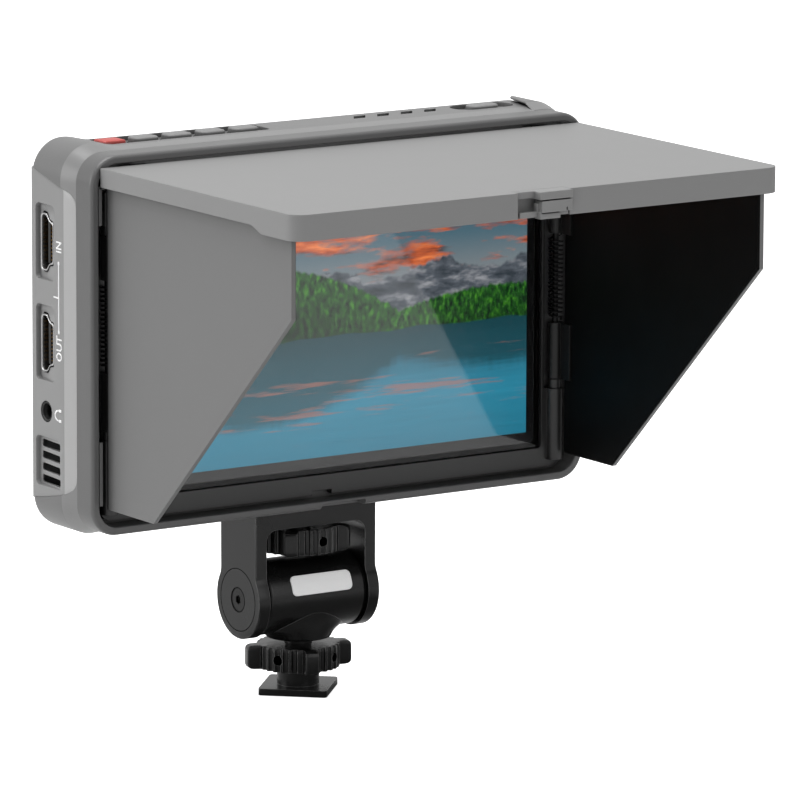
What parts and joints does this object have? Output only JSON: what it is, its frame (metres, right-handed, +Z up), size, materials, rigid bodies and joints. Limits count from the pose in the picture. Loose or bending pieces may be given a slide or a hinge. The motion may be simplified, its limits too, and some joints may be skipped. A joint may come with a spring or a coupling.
{
  "type": "camera field monitor",
  "caption": "Camera-top field monitor with a folding three-sided sun hood, side sockets and a tilting shoe mount with thumb wheels.",
  "frame": {"origin": "centre of the shoe foot's underside, on the swivel axis", "axes": "+X to the right as one looks at the screen, the screen and the open hood face -Y, +Z up"},
  "size_m": [0.1524, 0.125, 0.1501],
  "materials": {
    "casing_gray": "satin grey moulding with a fine texture",
    "panel_gray": "satin lighter grey moulding",
    "gray_key": "satin grey key",
    "red_key": "satin coral red key",
    "cover_glass": "clear flat cover glass with a black printed border",
    "display": "lit picture",
    "diffuser": "white diffuser stack",
    "sheet_steel": "plain sheet",
    "circuit_board": "green solder mask",
    "steel": "plain steel",
    "black_steel": "black oxide screw",
    "socket_steel": "pressed steel shell",
    "black_plastic": "black moulding",
    "brass": "threaded insert",
    "contact_gold": "plated contact",
    "frame_gray": "dark grey moulding",
    "spring_steel": "wound spring wire",
    "lid_gray": "satin grey moulding with a fine texture",
    "flap_gray": "satin grey moulding with a fine texture",
    "black_lining": "matt black light trap",
    "black_metal": "satin black anodised",
    "black_rubber": "thin cork-rubber pad",
    "washer_plastic": "pale friction washer",
    "label_white": "bare satin white label plate"
  },
  "bodies": {
    "foot": {"shoe_foot": "black_metal"},
    "lock_ring": {"lock_wheel": "black_metal"},
    "neck": {"pivot_barrel": "black_metal", "label_plate": "label_white"},
    "bracket": {"tilt_bracket": "black_metal", "bracket_pad": "black_rubber", "pivot_caps": "black_metal", "pivot_screws": "black_steel", "pivot_shaft": "steel", "friction_washers": "washer_plastic"},
    "thumb_screw": {"thumb_wheel": "black_metal", "mount_screw": "steel"},
    "monitor": {"front_bezel": "casing_gray", "rear_shell": "casing_gray", "side_panel_left": "panel_gray", "side_panel_right": "panel_gray", "screen_glass": "cover_glass", "display_panel": "display", "backlight": "diffuser", "chassis_plate": "sheet_steel", "main_board": "circuit_board", "board_screws": "steel", "key_board": "circuit_board", "video_socket_in": "socket_steel", "video_socket_out": "socket_steel", "socket_tongues": "black_plastic", "headphone_jack": "black_plastic", "power_socket": "black_plastic", "case_screws": "steel", "mount_bush": "brass", "battery_plate": "black_plastic", "plate_screws": "steel", "battery_contacts": "contact_gold", "release_spring": "steel", "hinge_frame": "frame_gray", "lid_pins": "steel", "flap_pins": "steel", "flap_spring_left": "spring_steel", "flap_spring_right": "spring_steel"},
    "lid": {"hood_lid": "lid_gray", "lid_lining": "black_lining", "latch_spring": "steel"},
    "latch": {"hood_latch": "lid_gray"},
    "left_flap": {"flap_left": "flap_gray", "flap_left_lining": "black_lining"},
    "right_flap": {"flap_right": "flap_gray", "flap_right_lining": "black_lining"},
    "record_button": {"record_key": "red_key"},
    "menu_button_1": {"menu_key_1": "gray_key"},
    "menu_button_2": {"menu_key_2": "gray_key"},
    "menu_button_3": {"menu_key_3": "gray_key"},
    "menu_button_4": {"menu_key_4": "gray_key"},
    "power_button": {"power_key": "gray_key"},
    "release_slide": {"battery_release": "casing_gray"}
  },
  "joints": [
    {"name": "lock_wheel_spin", "type": "hinge", "parent": "foot", "child": "lock_ring", "pos_m": [0, 0, 0.0095], "axis": [0, 0, 1], "continuous": true},
    {"name": "swivel", "type": "hinge", "parent": "foot", "child": "neck", "pos_m": [0, 0, 0.0144], "axis": [0, 0, 1], "continuous": true},
    {"name": "tilt", "type": "hinge", "parent": "neck", "child": "bracket", "pos_m": [0, 0, 0.0259], "axis": [1, 0, 0], "range_deg": [-80, 80]},
    {"name": "thumb_wheel_spin", "type": "hinge", "parent": "bracket", "child": "thumb_screw", "pos_m": [0, 0, 0.041], "axis": [0, 0, 1], "continuous": true},
    {"name": "monitor_turn", "type": "hinge", "parent": "bracket", "child": "monitor", "pos_m": [0, 0, 0.0517], "axis": [0, 0, 1], "continuous": true},
    {"name": "lid_tilt", "type": "hinge", "parent": "monitor", "child": "lid", "pos_m": [0, -0.0197, 0.1446], "axis": [-1, 0, 0], "range_deg": [0, 12]},
    {"name": "flap_left_fold", "type": "hinge", "parent": "monitor", "child": "left_flap", "pos_m": [-0.06845, -0.0174, 0.1017], "axis": [0, 0, 1], "range_deg": [0, 90], "stiffness_Nm_per_rad": 0.01, "springref_deg": -22.92},
    {"name": "flap_right_fold", "type": "hinge", "parent": "monitor", "child": "right_flap", "pos_m": [0.06845, -0.0174, 0.1017], "axis": [0, 0, -1], "range_deg": [0, 87.5], "stiffness_Nm_per_rad": 0.01, "springref_deg": -22.92},
    {"name": "latch_press", "type": "slide", "parent": "lid", "child": "latch", "axis": [0, 1, 0], "range_m": [0, 0.0012], "stiffness_N_per_m": 400, "springref_m": -0.001, "deforming": ["latch_spring"]},
    {"name": "record_press", "type": "slide", "parent": "monitor", "child": "record_button", "axis": [0, 0, -1], "range_m": [0, 0.0005], "stiffness_N_per_m": 600, "springref_m": -0.0005},
    {"name": "menu_press_1", "type": "slide", "parent": "monitor", "child": "menu_button_1", "axis": [0, 0, -1], "range_m": [0, 0.0005], "stiffness_N_per_m": 600, "springref_m": -0.0005},
    {"name": "menu_press_2", "type": "slide", "parent": "monitor", "child": "menu_button_2", "axis": [0, 0, -1], "range_m": [0, 0.0005], "stiffness_N_per_m": 600, "springref_m": -0.0005},
    {"name": "menu_press_3", "type": "slide", "parent": "monitor", "child": "menu_button_3", "axis": [0, 0, -1], "range_m": [0, 0.0005], "stiffness_N_per_m": 600, "springref_m": -0.0005},
    {"name": "menu_press_4", "type": "slide", "parent": "monitor", "child": "menu_button_4", "axis": [0, 0, -1], "range_m": [0, 0.0005], "stiffness_N_per_m": 600, "springref_m": -0.0005},
    {"name": "power_press", "type": "slide", "parent": "monitor", "child": "power_button", "axis": [0, 0, -1], "range_m": [0, 0.0005], "stiffness_N_per_m": 600, "springref_m": -0.0005},
    {"name": "battery_release_slide", "type": "slide", "parent": "monitor", "child": "release_slide", "axis": [0, 0, -1], "range_m": [0, 0.002], "stiffness_N_per_m": 300, "springref_m": -0.001, "deforming": ["release_spring"]}
  ]
}
